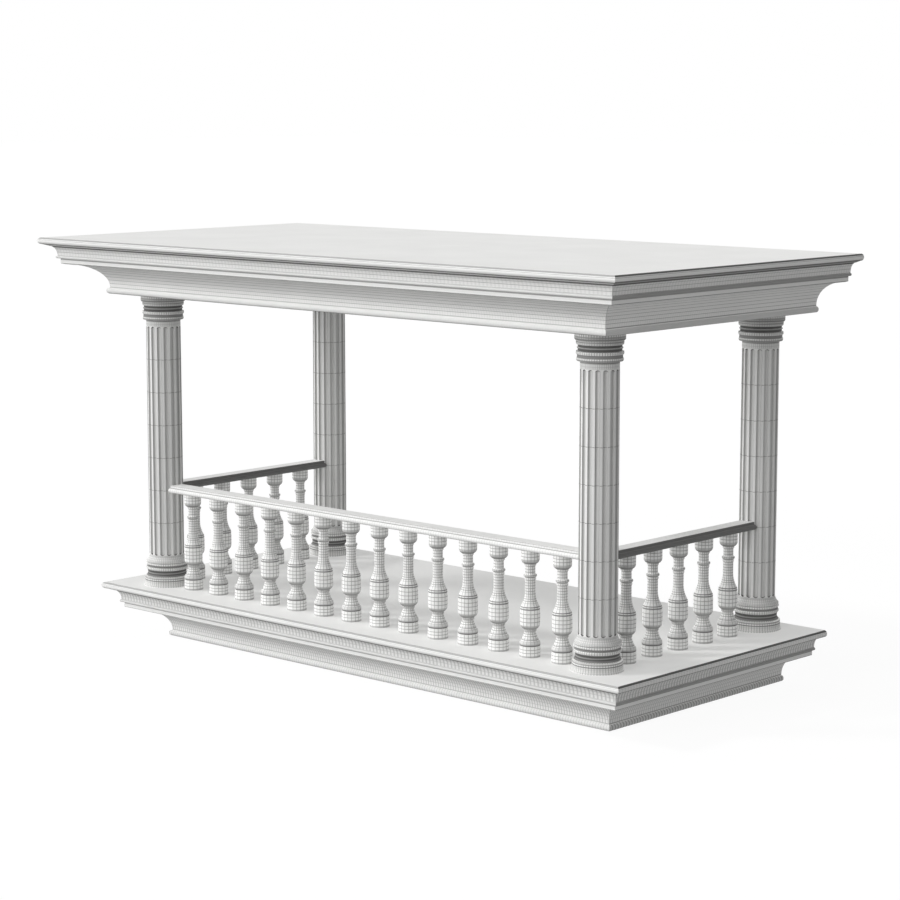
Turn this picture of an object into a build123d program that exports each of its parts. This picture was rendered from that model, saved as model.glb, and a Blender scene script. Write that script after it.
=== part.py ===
from build123d import *
import os

# Columned stone balcony. X runs along the front, which faces -Y. The flat wall side faces +Y.
# Z is up, the origin is the centre of the plan at ground level, and every length is in millimetres.

# Plan, from column axis to column axis and out to the tips of the nosings
COLUMN_SPAN_X = 5080
COLUMN_SPAN_Y = 2093
WALL_SETBACK = 317
ROOF_OVERHANG_FRONT = 793
ROOF_OVERHANG_SIDE = 783
DECK_OVERHANG_FRONT = 361
DECK_OVERHANG_SIDE = 503

# Heights
COLUMN_HEIGHT = 2658
RAIL_TOP = 930

# Edge moulding of the deck and the roof, from the top down
NOSING_RADIUS = 29
QUIRK_SETBACK = 50
QUIRK_HEIGHT = 18
CAVETTO_WIDTH = 49
CAVETTO_HEIGHT = 87
EDGE_BEAD_RADIUS = 12
FASCIA_STEP = 19
FASCIA_HEIGHT = 45
SOFFIT_WIDTH = 33
SOFFIT_DROP = 8
COVE_WIDTH = 276
COVE_HEIGHT = 205
NECK_HEIGHT = 8
FOOT_BEAD_RADIUS = 26
FOOT_BEAD_PROUD = 24

# Column shaft
SHAFT_RADIUS = 156
SHAFT_TOP_RADIUS = 154
ENTASIS_START_SHARE = 1 / 3
FLUTE_COUNT = 16
FLUTE_RADIUS = 19
FLUTE_DEPTH = 18
FLUTE_END_RISE = 9
SHAFT_NECK_HEIGHT = 61
SHAFT_FLARE = 30
SHAFT_FLARE_HEIGHT = 55
SHAFT_FLARE_HOLLOW = 6
SHAFT_LIP_HEIGHT = 12

# Column base, from the deck up
PLINTH_RADIUS = 204
PLINTH_TAPER = 4
PLINTH_HEIGHT = 82
PLINTH_FOOT_PROUD = 6
PLINTH_FOOT_HEIGHT = 14
LOWER_TORUS_RADIUS = 180
LOWER_TORUS_HEIGHT = 16
LOWER_TORUS_BULGE = 7
SCOTIA_HEIGHT = 49
SCOTIA_DEPTH = 6
UPPER_TORUS_HEIGHT = 27
UPPER_TORUS_BULGE = 9
UPPER_HOLLOW_STEP = 4
UPPER_HOLLOW_HEIGHT = 18
UPPER_HOLLOW_DEPTH = 5
TOP_RING_HEIGHT = 18
TOP_RING_BULGE = 6
BASE_NECK_STEP = 3
BASE_NECK_HEIGHT = 8

# Column capital, from the shaft's neck up
ASTRAGAL_SETOUT = 25
ASTRAGAL_HEIGHT = 26
ASTRAGAL_BULGE = 4
BAND_HEIGHT = 25
BAND_HOLLOW = 2
COLLAR_PROUD = 4
COLLAR_HEIGHT = 26
COLLAR_BULGE = 4
CAPITAL_GROOVE_DEPTH = 12
LOWER_GROOVE_HEIGHT = 21
GROOVE_RIDGE_PROUD = 7
GROOVE_RIDGE_HEIGHT = 9
UPPER_GROOVE_HEIGHT = 21
ECHINUS_HEIGHT = 32
ECHINUS_BULGE = 3
ABACUS_STEP = 8
ABACUS_FLARE = 8
ABACUS_FLARE_HEIGHT = 10
ABACUS_HEIGHT = 70
ABACUS_EDGE = 4

# Balusters, in their rows and from the deck up
BALUSTER_PITCH = 335
BALUSTER_END_ROOM = 300
SIDE_ROW_SHIFT = 26
FOOT_RADIUS = 84
FOOT_HEIGHT = 88
FOOT_GROOVE = 4
LIP_NARROWING = 3
LIP_HEIGHT = 44
LIP_BULGE = 5
LIP_STEP = 4
WAIST_RADIUS = 45
WAIST_HEIGHT = 74
WAIST_HOLLOW = 3
WAIST_RING_RADIUS = 8
BARREL_RADIUS = 81
BARREL_SHOULDER_HEIGHT = 50
BARREL_SHOULDER_BULGE = 10
BARREL_HEIGHT = 98
BARREL_GROOVE = 5
BELL_RADIUS = 79
BELL_LIP_HEIGHT = 14
BELL_FOOT_FALL = 8
BELL_FOOT_HEIGHT = 28
BELL_FOOT_BULGE = 2
BELL_HEIGHT = 104
BELL_HOLLOW = 6
STEM_RADIUS = 42
STEM_HEIGHT = 106
STEM_RING_PROUD = 5
STEM_RING_HEIGHT = 13
STEM_RING_GAP = 6
COLLAR_RADIUS = 13
NECK_RADIUS = 41
CUP_RING_PROUD = 7
CUP_RING_HEIGHT = 16
CUP_BOWL_STEP = 6
CUP_RADIUS = 75
CUP_BOWL_HEIGHT = 36
CUP_BOWL_BULGE = 6
CUP_HEIGHT = 70

# Handrail
RAIL_HALF_WIDTH = 67
RAIL_TOP_EDGE = 3
RAIL_FILLET_HEIGHT = 20
RAIL_ROLL_RADIUS = 22
RAIL_ROLL_SETBACK = 1
RAIL_JOINT = 0.3

# Places that follow from the sizes above
SLAB_INSETS = NOSING_RADIUS + QUIRK_SETBACK + CAVETTO_WIDTH + FASCIA_STEP + SOFFIT_WIDTH + COVE_WIDTH
NOSING_COURSE = 2 * NOSING_RADIUS + QUIRK_HEIGHT
CORNICE_COURSE = CAVETTO_HEIGHT + 2 * EDGE_BEAD_RADIUS + FASCIA_HEIGHT
COVE_COURSE = SOFFIT_DROP + COVE_HEIGHT + NECK_HEIGHT + 2 * FOOT_BEAD_RADIUS
SLAB_HEIGHT = NOSING_COURSE + CORNICE_COURSE + COVE_COURSE
DEPTH = ROOF_OVERHANG_FRONT + COLUMN_SPAN_Y + WALL_SETBACK
WALL_Y = DEPTH / 2
BACK_COLUMN_Y = WALL_Y - WALL_SETBACK
FRONT_COLUMN_Y = BACK_COLUMN_Y - COLUMN_SPAN_Y
SIDE_COLUMN_X = COLUMN_SPAN_X / 2
DECK_TOP = SLAB_HEIGHT
ROOF_BOTTOM = DECK_TOP + COLUMN_HEIGHT
ROOF_TOP = ROOF_BOTTOM + SLAB_HEIGHT
RAIL_ROLL_HEIGHT = 2 * RAIL_ROLL_RADIUS
RAIL_HEIGHT = RAIL_ROLL_HEIGHT + RAIL_FILLET_HEIGHT + RAIL_TOP_EDGE
BALUSTER_HEIGHT = RAIL_TOP - RAIL_HEIGHT
FRONT_BALUSTERS = int((COLUMN_SPAN_X - 2 * BALUSTER_END_ROOM) // BALUSTER_PITCH) + 1
SIDE_BALUSTERS = int((COLUMN_SPAN_Y - 2 * BALUSTER_END_ROOM) // BALUSTER_PITCH) + 1


class Outline:
    """One half of a section, drawn from point to point as (out, up)."""

    def __init__(self, out, up):
        self.start = Vector(out, up)
        self.at = self.start
        self.edges = []

    def line(self, out, up):
        end = self.at + Vector(out, up)
        self.edges.append(Line(self.at, end))
        self.at = end

    def arc(self, out, up, bulge):
        """An arc whose middle stands out by bulge to the right of its travel."""
        end = self.at + Vector(out, up)
        self.edges.append(SagittaArc(self.at, end, -bulge))
        self.at = end

    def cove(self, width, height):
        """A hollow quarter ellipse that falls inwards: level at the top and upright at the bottom."""
        centre = self.at + Vector(0, -height)
        self.edges.append(EllipticalCenterArc(centre, width, height, start_angle=90, arc_size=90))
        self.at = centre + Vector(-width, 0)


def turned(outline):
    """A solid of revolution about Z, from an outline that starts and ends at its outer wall."""
    foot = Vector(0, outline.start.Y)
    head = Vector(0, outline.at.Y)
    closing = Polyline(outline.at, head, foot, outline.start)
    face = make_face([*outline.edges, *closing.edges()])
    return revolve(Plane.XZ * face, Axis.Z)


def nosing_outline():
    """Half-round nosing with the quirk cut in under it."""
    edge = Outline(-NOSING_RADIUS, 0)
    edge.arc(0, -2 * NOSING_RADIUS, -NOSING_RADIUS)
    edge.line(-QUIRK_SETBACK, -QUIRK_HEIGHT)
    return edge


def cornice_outline():
    """Cavetto, bead and fascia."""
    edge = Outline(-NOSING_RADIUS - QUIRK_SETBACK, 0)
    edge.cove(CAVETTO_WIDTH, CAVETTO_HEIGHT)
    edge.arc(0, -2 * EDGE_BEAD_RADIUS, -EDGE_BEAD_RADIUS)
    edge.line(-FASCIA_STEP, 0)
    edge.line(0, -FASCIA_HEIGHT)
    return edge


def cove_outline():
    """Soffit, deep cove, neck and the foot bead."""
    edge = Outline(-SLAB_INSETS + COVE_WIDTH + SOFFIT_WIDTH, 0)
    edge.line(-SOFFIT_WIDTH, -SOFFIT_DROP)
    edge.cove(COVE_WIDTH, COVE_HEIGHT)
    edge.line(0, -NECK_HEIGHT)
    edge.arc(0, -2 * FOOT_BEAD_RADIUS, -FOOT_BEAD_PROUD)
    return edge


def course(outline, half_length, front_y, top):
    """A stone course with one moulding mitred round the front and both ends, and a plain back."""
    run = Curve() + outline.edges
    right = Pos(half_length, 0) * run
    left = mirror(right, Plane.YZ)
    head = Vector(half_length, 0) + outline.start
    foot = Vector(half_length, 0) + outline.at
    caps = [Line((-head.X, head.Y), head), Line((-foot.X, foot.Y), foot)]
    end_section = make_face([*right.edges(), *left.edges(), *caps])
    front = Pos(front_y, 0) * mirror(run, Plane.YZ)
    back = Polyline(
        (front_y - outline.start.X, outline.start.Y),
        (WALL_Y, outline.start.Y),
        (WALL_Y, outline.at.Y),
        (front_y - outline.at.X, outline.at.Y),
    )
    front_section = make_face([*front.edges(), *back.edges()])
    across = extrude(Plane.XZ * end_section, amount=DEPTH, both=True)
    along = extrude(Plane.YZ * front_section, amount=half_length, both=True)
    return Pos(0, 0, top) * (across & along)


def moulded_slab(half_length, front_y, top):
    """The three courses of a moulded slab, from the top down."""
    nosing = course(nosing_outline(), half_length, front_y, top)
    cornice = course(cornice_outline(), half_length, front_y, top - NOSING_COURSE)
    cove = course(cove_outline(), half_length, front_y, top - NOSING_COURSE - CORNICE_COURSE)
    return nosing, cornice, cove


def column_base():
    """Round plinth, torus, scotia, torus, hollow and top ring, up to the bed of the shaft."""
    edge = Outline(PLINTH_RADIUS + PLINTH_FOOT_PROUD, 0)
    edge.line(0, PLINTH_FOOT_HEIGHT)
    edge.line(-PLINTH_FOOT_PROUD, 0)
    edge.line(-PLINTH_TAPER, PLINTH_HEIGHT - PLINTH_FOOT_HEIGHT)
    edge.line(LOWER_TORUS_RADIUS - edge.at.X, 0)
    edge.arc(0, LOWER_TORUS_HEIGHT, LOWER_TORUS_BULGE)
    edge.arc(0, SCOTIA_HEIGHT, -SCOTIA_DEPTH)
    edge.arc(0, UPPER_TORUS_HEIGHT, UPPER_TORUS_BULGE)
    edge.line(UPPER_HOLLOW_STEP, 0)
    edge.arc(0, UPPER_HOLLOW_HEIGHT, -UPPER_HOLLOW_DEPTH)
    edge.arc(0, TOP_RING_HEIGHT, TOP_RING_BULGE)
    edge.line(-BASE_NECK_STEP, 0)
    edge.line(0, BASE_NECK_HEIGHT)
    return edge


def column_capital():
    """Astragal, hollow band, collar, double groove, echinus and flared round abacus."""
    edge = Outline(SHAFT_TOP_RADIUS, 0)
    edge.line(ASTRAGAL_SETOUT, 0)
    edge.arc(0, ASTRAGAL_HEIGHT, ASTRAGAL_BULGE)
    edge.arc(0, BAND_HEIGHT, -BAND_HOLLOW)
    edge.line(COLLAR_PROUD, 0)
    edge.arc(0, COLLAR_HEIGHT, COLLAR_BULGE)
    edge.line(-CAPITAL_GROOVE_DEPTH, 0)
    edge.line(0, LOWER_GROOVE_HEIGHT)
    edge.line(GROOVE_RIDGE_PROUD, 0)
    edge.line(0, GROOVE_RIDGE_HEIGHT)
    edge.line(-GROOVE_RIDGE_PROUD, 0)
    edge.line(0, UPPER_GROOVE_HEIGHT)
    edge.line(CAPITAL_GROOVE_DEPTH, 0)
    edge.arc(0, ECHINUS_HEIGHT, ECHINUS_BULGE)
    edge.line(ABACUS_STEP, 0)
    edge.line(ABACUS_FLARE, ABACUS_FLARE_HEIGHT)
    edge.line(0, ABACUS_HEIGHT - ABACUS_FLARE_HEIGHT - ABACUS_EDGE)
    edge.line(-ABACUS_EDGE, ABACUS_EDGE)
    return edge


def column_shaft(foot, head):
    """The shaft before its flutes are cut: upright for a third, then drawn in by the entasis."""
    straight = ENTASIS_START_SHARE * (head - foot)
    edge = Outline(SHAFT_RADIUS + SHAFT_FLARE, foot)
    edge.line(0, SHAFT_LIP_HEIGHT)
    edge.arc(-SHAFT_FLARE, SHAFT_FLARE_HEIGHT, -SHAFT_FLARE_HOLLOW)
    edge.line(0, straight - SHAFT_LIP_HEIGHT - SHAFT_FLARE_HEIGHT)
    edge.line(SHAFT_TOP_RADIUS - SHAFT_RADIUS, head - foot - straight)
    return turned(edge)


def flute(foot, head):
    """The cutter of one flute at +X: a long rod with low domed ends that leans with the shaft."""
    inset = FLUTE_RADIUS - FLUTE_DEPTH
    low = Vector(SHAFT_RADIUS + inset, 0, foot)
    high = Vector(SHAFT_TOP_RADIUS + inset, 0, head)
    run = high - low
    tip = run.length
    foot_end = TangentArc((0, 0), (FLUTE_RADIUS, FLUTE_END_RISE), tangent=(1, 0))
    head_end = TangentArc((0, tip), (FLUTE_RADIUS, tip - FLUTE_END_RISE), tangent=(1, 0))
    side = Line(foot_end @ 1, head_end @ 1)
    axis_line = Line(head_end @ 0, foot_end @ 0)
    rod = revolve(Plane.XZ * make_face([foot_end, side, head_end, axis_line]), Axis.Z)
    return Plane(low, x_dir=(1, 0, 0), z_dir=run) * rod


def fluted_shaft(foot, head):
    """The shaft with its ring of flutes, which stop short of the flare and of the neck."""
    cutter = flute(foot + SHAFT_LIP_HEIGHT + SHAFT_FLARE_HEIGHT, head - SHAFT_NECK_HEIGHT)
    ring = [Rot(0, 0, (turn + 0.5) * 360 / FLUTE_COUNT) * cutter for turn in range(FLUTE_COUNT)]
    return column_shaft(foot, head) - ring


def baluster():
    """A turned baluster: foot, lip, waist, barrel, bell, stem with a collar, neck and cup."""
    edge = Outline(FOOT_RADIUS, 0)
    edge.line(0, FOOT_HEIGHT)
    edge.line(-FOOT_GROOVE, 0)
    edge.arc(-LIP_NARROWING, LIP_HEIGHT, LIP_BULGE)
    edge.line(-LIP_STEP, 0)
    edge.arc(WAIST_RADIUS - edge.at.X, WAIST_HEIGHT, -WAIST_HOLLOW)
    edge.arc(0, 2 * WAIST_RING_RADIUS, WAIST_RING_RADIUS)
    edge.arc(BARREL_RADIUS - WAIST_RADIUS, BARREL_SHOULDER_HEIGHT, BARREL_SHOULDER_BULGE)
    edge.line(0, BARREL_HEIGHT)
    edge.line(-BARREL_GROOVE, 0)
    edge.line(0, BARREL_GROOVE)
    edge.line(BELL_RADIUS - edge.at.X, 0)
    edge.line(0, BELL_LIP_HEIGHT)
    edge.arc(-BELL_FOOT_FALL, BELL_FOOT_HEIGHT, BELL_FOOT_BULGE)
    edge.arc(STEM_RADIUS - edge.at.X, BELL_HEIGHT, -BELL_HOLLOW)
    edge.line(0, STEM_HEIGHT)
    edge.line(STEM_RING_PROUD, 0)
    edge.line(0, STEM_RING_HEIGHT)
    edge.line(NECK_RADIUS - edge.at.X, 0)
    edge.line(0, STEM_RING_GAP)
    edge.arc(0, 2 * COLLAR_RADIUS, COLLAR_RADIUS)
    neck = BALUSTER_HEIGHT - edge.at.Y - CUP_RING_HEIGHT - CUP_BOWL_HEIGHT - CUP_HEIGHT
    edge.line(0, neck)
    edge.line(CUP_RING_PROUD, 0)
    edge.line(0, CUP_RING_HEIGHT)
    edge.line(CUP_BOWL_STEP, 0)
    edge.arc(CUP_RADIUS - edge.at.X, CUP_BOWL_HEIGHT, CUP_BOWL_BULGE)
    edge.line(0, CUP_HEIGHT)
    return turned(edge)


def rail_section():
    """Section of the handrail: a flat top, a fillet, and a roll on both sides over a flat bed."""
    half = Outline(RAIL_HALF_WIDTH - RAIL_ROLL_SETBACK, 0)
    half.arc(0, RAIL_ROLL_HEIGHT, RAIL_ROLL_RADIUS)
    half.line(RAIL_ROLL_SETBACK, 0)
    half.line(0, RAIL_FILLET_HEIGHT)
    half.line(-RAIL_TOP_EDGE, RAIL_TOP_EDGE)
    right = Curve() + half.edges
    left = mirror(right, Plane.YZ)
    bed = Line((-half.start.X, 0), half.start)
    top = Line((-half.at.X, half.at.Y), half.at)
    return make_face([*right.edges(), *left.edges(), bed, top])


def largest(pieces):
    """The main piece of what a cut left."""
    return pieces.solids().sort_by(SortBy.VOLUME)[-1]


def keep(name, solid):
    """Write one piece as its own STEP file."""
    solid.label = name
    export_step(solid, os.path.join("parts", name + ".step"))


os.makedirs("parts", exist_ok=True)

# Deck and roof
courses = ("nosing_course", "cornice_course", "cove_course")
deck_half = SIDE_COLUMN_X + DECK_OVERHANG_SIDE
deck_front = FRONT_COLUMN_Y - DECK_OVERHANG_FRONT
for name, stone in zip(courses, moulded_slab(deck_half, deck_front, DECK_TOP)):
    keep("deck_" + name, stone)
roof_half = SIDE_COLUMN_X + ROOF_OVERHANG_SIDE
roof_front = FRONT_COLUMN_Y - ROOF_OVERHANG_FRONT
for name, stone in zip(courses, moulded_slab(roof_half, roof_front, ROOF_TOP)):
    keep("roof_" + name, stone)

# Columns, each a base, a fluted shaft and a capital
base_edge = column_base()
capital_edge = column_capital()
base_height = base_edge.at.Y
shaft_head = COLUMN_HEIGHT - capital_edge.at.Y
base = turned(base_edge)
shaft = fluted_shaft(base_height, shaft_head)
capital = Pos(0, 0, shaft_head) * turned(capital_edge)
column_places = {
    "front_left": Pos(-SIDE_COLUMN_X, FRONT_COLUMN_Y, DECK_TOP),
    "front_right": Pos(SIDE_COLUMN_X, FRONT_COLUMN_Y, DECK_TOP),
    "back_left": Pos(-SIDE_COLUMN_X, BACK_COLUMN_Y, DECK_TOP),
    "back_right": Pos(SIDE_COLUMN_X, BACK_COLUMN_Y, DECK_TOP),
}
for corner, place in column_places.items():
    keep("column_base_" + corner, place * base)
    keep("column_shaft_" + corner, place * shaft)
    keep("column_capital_" + corner, place * capital)

# Handrails, coped against the shafts they run into
shaft_clearance = Cylinder(SHAFT_RADIUS + RAIL_JOINT, 2 * COLUMN_HEIGHT)
cope = [place * shaft_clearance for place in column_places.values()]
rail_bed = DECK_TOP + BALUSTER_HEIGHT
rail_face = rail_section()
middle_y = (FRONT_COLUMN_Y + BACK_COLUMN_Y) / 2
front_rail = extrude(Plane.YZ * rail_face, amount=COLUMN_SPAN_X / 2, both=True)
side_rail = extrude(Plane.XZ * rail_face, amount=COLUMN_SPAN_Y / 2, both=True)
keep("handrail_front", largest(Pos(0, FRONT_COLUMN_Y, rail_bed) * front_rail - cope))
keep("handrail_left", largest(Pos(-SIDE_COLUMN_X, middle_y, rail_bed) * side_rail - cope))
keep("handrail_right", largest(Pos(SIDE_COLUMN_X, middle_y, rail_bed) * side_rail - cope))

# Balusters, centred between the columns in front and set a little forward at the sides
turned_baluster = baluster()
front_start = -BALUSTER_PITCH * (FRONT_BALUSTERS - 1) / 2
side_start = middle_y - SIDE_ROW_SHIFT - BALUSTER_PITCH * (SIDE_BALUSTERS - 1) / 2
for number in range(FRONT_BALUSTERS):
    place = Pos(front_start + number * BALUSTER_PITCH, FRONT_COLUMN_Y, DECK_TOP)
    keep(f"baluster_front_{number + 1:02d}", place * turned_baluster)
for number in range(SIDE_BALUSTERS):
    along = side_start + number * BALUSTER_PITCH
    keep(f"baluster_left_{number + 1}", Pos(-SIDE_COLUMN_X, along, DECK_TOP) * turned_baluster)
    keep(f"baluster_right_{number + 1}", Pos(SIDE_COLUMN_X, along, DECK_TOP) * turned_baluster)
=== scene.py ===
import logging
import math
from dataclasses import dataclass
from enum import Enum

import bmesh
import bpy
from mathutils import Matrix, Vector


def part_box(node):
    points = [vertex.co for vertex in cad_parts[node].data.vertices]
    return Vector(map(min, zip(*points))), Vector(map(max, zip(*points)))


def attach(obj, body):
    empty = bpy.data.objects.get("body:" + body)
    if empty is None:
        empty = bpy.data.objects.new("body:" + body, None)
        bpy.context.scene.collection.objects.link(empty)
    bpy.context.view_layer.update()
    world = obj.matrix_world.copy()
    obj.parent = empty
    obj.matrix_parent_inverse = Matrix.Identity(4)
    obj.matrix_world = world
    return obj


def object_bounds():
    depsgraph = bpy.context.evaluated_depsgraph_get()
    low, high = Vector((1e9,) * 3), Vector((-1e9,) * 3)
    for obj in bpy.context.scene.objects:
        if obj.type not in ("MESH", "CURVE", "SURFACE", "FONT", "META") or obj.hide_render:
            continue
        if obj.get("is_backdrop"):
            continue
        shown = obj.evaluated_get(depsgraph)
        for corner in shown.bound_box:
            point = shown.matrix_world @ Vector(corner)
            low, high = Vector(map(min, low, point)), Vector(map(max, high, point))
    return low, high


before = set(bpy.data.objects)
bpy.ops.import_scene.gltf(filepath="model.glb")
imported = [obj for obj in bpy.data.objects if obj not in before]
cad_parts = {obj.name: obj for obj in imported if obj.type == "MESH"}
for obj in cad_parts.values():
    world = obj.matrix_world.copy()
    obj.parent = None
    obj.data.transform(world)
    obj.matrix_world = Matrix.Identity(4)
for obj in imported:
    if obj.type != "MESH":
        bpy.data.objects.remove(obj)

LOG = logging.getLogger("balcony")
BODY = "root"
# How much of a line's width, to each side of its middle, is fully dark, and where it has faded out.
LINE_CORE = 0.25
LINE_EDGE = 0.6
# Nearly all of a cloudy pattern's values lie in this range.
CLOUD_LOW = 0.3
CLOUD_HIGH = 0.7

Socket = bpy.types.NodeSocket
Term = float | Socket
Colour = tuple[float, float, float]
Point = tuple[float, float, float]


class Row(Enum):
    """The three runs of the balustrade."""

    FRONT = "front"
    LEFT = "left"
    RIGHT = "right"


class Corner(Enum):
    """The four columns, one at each corner."""

    FRONT_LEFT = "front_left"
    FRONT_RIGHT = "front_right"
    BACK_LEFT = "back_left"
    BACK_RIGHT = "back_right"


class Edge(Enum):
    """The tops of a slab's mouldings, from its flat top down."""

    TOP = "top"
    QUIRK = "quirk"
    CAVETTO = "cavetto"
    BEAD = "bead"
    FASCIA = "fascia"
    SOFFIT = "soffit"
    COVE = "cove"
    NECK = "neck"
    FOOT = "foot"


@dataclass(frozen=True)
class Crease:
    """A fine dark line along a moulding or round a turned piece.

    Attributes:
        level: Its place along the profile, in metres.
        width: How wide it is, in metres.
        tone: How dark it is, from 0 to 1.
    """

    level: float
    width: float
    tone: float


@dataclass(frozen=True)
class RunMark:
    """A dark line or stretch along a slab's mouldings, partly a tooled line and partly painted
    shade, which may be darker on the two ends as on a face in shade.

    Attributes:
        edge: The edge that it is measured from.
        start: Where it starts, in metres under that edge.
        stop: Where it ends.
        front: How dark it is on the front, from 0 to 1.
        end: How dark it is on the two ends, where more shade is painted.
    """

    edge: Edge
    start: float
    stop: float
    front: float
    end: float


@dataclass(frozen=True)
class Band:
    """A stretch of a profile with evenly spaced tooled lines, darkened as a whole with painted
    shade.

    Attributes:
        low: Where it starts, in metres.
        high: Where it ends, in metres.
        pitch: The room between its lines, in metres; none where it is 0.
        painted_shade: How dark the painted shade over the whole stretch is, from 0 to 1; it stands
            in for the shade in a hollow or under a ring.
    """

    low: float
    high: float
    pitch: float = 0.0
    # Painted shade: darkens the whole stretch as if it lay in shade.
    painted_shade: float = 0.0


@dataclass
class ShadeWriter:
    """Writes the shader nodes of one finish, one step at a time.

    Attributes:
        tree: The node tree that it writes into.
    """

    tree: bpy.types.NodeTree

    def add(self, kind: str, **settings: object) -> bpy.types.Node:
        """Adds one node.

        Args:
            kind: The node's type.
            **settings: Properties to set on it.

        Returns:
            The new node.
        """
        node = self.tree.nodes.new(kind)
        for name, value in settings.items():
            setattr(node, name, value)
        return node

    def feed(self, target: Socket, term: Term) -> None:
        """Sets an input from a number or links it to an output.

        Args:
            target: The input.
            term: A number, or the output that it takes its value from.
        """
        if isinstance(term, (int, float)):
            target.default_value = term
        else:
            self.tree.links.new(term, target)

    def join(self, kind: str, *terms: Term, **settings: object) -> Socket:
        """Adds one node and feeds its inputs in order.

        Args:
            kind: The node's type.
            *terms: Its inputs, in order.
            **settings: Properties to set on it.

        Returns:
            Its first output.
        """
        node = self.add(kind, **settings)
        for target, term in zip(node.inputs, terms):
            self.feed(target, term)
        return node.outputs[0]

    def sum(self, operation: str, *terms: Term) -> Socket:
        """Adds one step of arithmetic on any terms."""
        return self.join("ShaderNodeMath", *terms, operation=operation)

    def rest(self, mask: Term) -> Socket:
        """Marks all that a mask leaves out."""
        return self.sum("SUBTRACT", 1.0, mask)

    def product(self, *terms: Term) -> Socket:
        """Multiplies any number of terms.

        Args:
            *terms: What is multiplied.

        Returns:
            The product.
        """
        result = terms[0]
        for term in terms[1:]:
            result = self.sum("MULTIPLY", result, term)
        return result

    def deepest(self, marks: list[Socket]) -> Socket:
        """Keeps the strongest of several marks.

        Args:
            marks: Masks from 0 to 1.

        Returns:
            Their greatest value.
        """
        result = marks[0]
        for mark in marks[1:]:
            result = self.sum("MAXIMUM", result, mark)
        return result

    def ramp(self, value: Term, low: float, high: float, start: float, end: float) -> Socket:
        """Maps a value from one range to another and stops at its ends.

        Args:
            value: What is mapped.
            low: Where the range starts.
            high: Where it ends.
            start: The result at and before low.
            end: The result at and after high.

        Returns:
            The mapped value.
        """
        return self.join("ShaderNodeMapRange", value, low, high, start, end, clamp=True)

    def soften(self, away: Socket, width: float) -> Socket:
        """Draws a line with soft sides.

        Args:
            away: Distance from the middle of the line, in metres.
            width: How wide the line is.

        Returns:
            A mask, 1 in the middle of the line.
        """
        return self.ramp(away, width * LINE_CORE, width * LINE_EDGE, 1.0, 0.0)

    def line(self, value: Term, level: float, width: float) -> Socket:
        """Marks one line.

        Args:
            value: The coordinate that it crosses, in metres.
            level: Where it lies.
            width: How wide it is.

        Returns:
            A mask, 1 in the middle of the line.
        """
        return self.soften(self.sum("ABSOLUTE", self.sum("SUBTRACT", value, level)), width)

    def lines(self, value: Term, pitch: float, width: float) -> Socket:
        """Marks evenly spaced lines.

        Args:
            value: The coordinate that they cross, in metres.
            pitch: The room from one line to the next.
            width: How wide each one is.

        Returns:
            A mask, 1 in the middle of each line.
        """
        return self.soften(self.sum("PINGPONG", value, pitch / 2), width)

    def between(self, value: Term, low: float, high: float) -> Socket:
        """Marks a stretch.

        Args:
            value: The coordinate that is tested.
            low: Where the stretch starts.
            high: Where it ends.

        Returns:
            A mask, 1 inside the stretch.
        """
        above = self.sum("GREATER_THAN", value, low)
        return self.product(above, self.sum("LESS_THAN", value, high))

    def creases(self, height: Socket, creases: tuple[Crease, ...]) -> list[Socket]:
        """Marks separate lines, each with its own width and tone.

        Args:
            height: The coordinate that they cross, in metres.
            creases: The lines.

        Returns:
            A mask for each line.
        """
        return [self.product(self.line(height, c.level, c.width), c.tone) for c in creases]

    def radius(self, out: Socket, over: Socket) -> Socket:
        """Gives a point's distance from an axis, from its distances along x and y."""
        return self.sum("SQRT", self.sum("ADD", self.product(out, out), self.product(over, over)))

    def faces_side(self, side: Socket, front: Socket) -> Socket:
        """Marks what faces the left or right more than the front or back."""
        return self.sum("GREATER_THAN", self.sum("ABSOLUTE", side), self.sum("ABSOLUTE", front))

    def seen(self) -> Socket:
        """Marks the rays by which a thing is looked at: of a camera, in a gloss or through glass.

        Returns:
            1 for such a ray, and 0 for a ray that gathers light.
        """
        rays = self.add("ShaderNodeLightPath").outputs
        look = self.sum("MAXIMUM", rays["Is Camera Ray"], rays["Is Glossy Ray"])
        return self.sum("MAXIMUM", look, rays["Is Transmission Ray"])

    def grey(self, kind: str, tone: float = 1.0, strength: Term | None = None) -> Socket:
        """Adds a plain grey shader.

        Args:
            kind: The shader's type.
            tone: How light it is, from 0 to 1.
            strength: How strongly it shines, where it does.

        Returns:
            The shader.
        """
        node = self.add(kind)
        node.inputs["Color"].default_value = (tone, tone, tone, 1.0)
        if strength is not None:
            self.feed(node.inputs["Strength"], strength)
        return node.outputs[0]

    def spot(self) -> Socket:
        """Gives a point's place on the object as one vector."""
        return self.add("ShaderNodeTexCoord").outputs["Object"]

    def place(self) -> tuple[Socket, Socket, Socket]:
        """Gives a point's place on the object.

        Returns:
            Its x, y and z in metres.
        """
        split = self.add("ShaderNodeSeparateXYZ")
        self.feed(split.inputs[0], self.spot())
        return tuple(split.outputs)

    def facing(self) -> tuple[Socket, Socket, Socket]:
        """Gives the way that a point's surface faces.

        Returns:
            The x, y and z of its normal.
        """
        split = self.add("ShaderNodeSeparateXYZ")
        self.feed(split.inputs[0], self.add("ShaderNodeNewGeometry").outputs["Normal"])
        return tuple(split.outputs)

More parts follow.
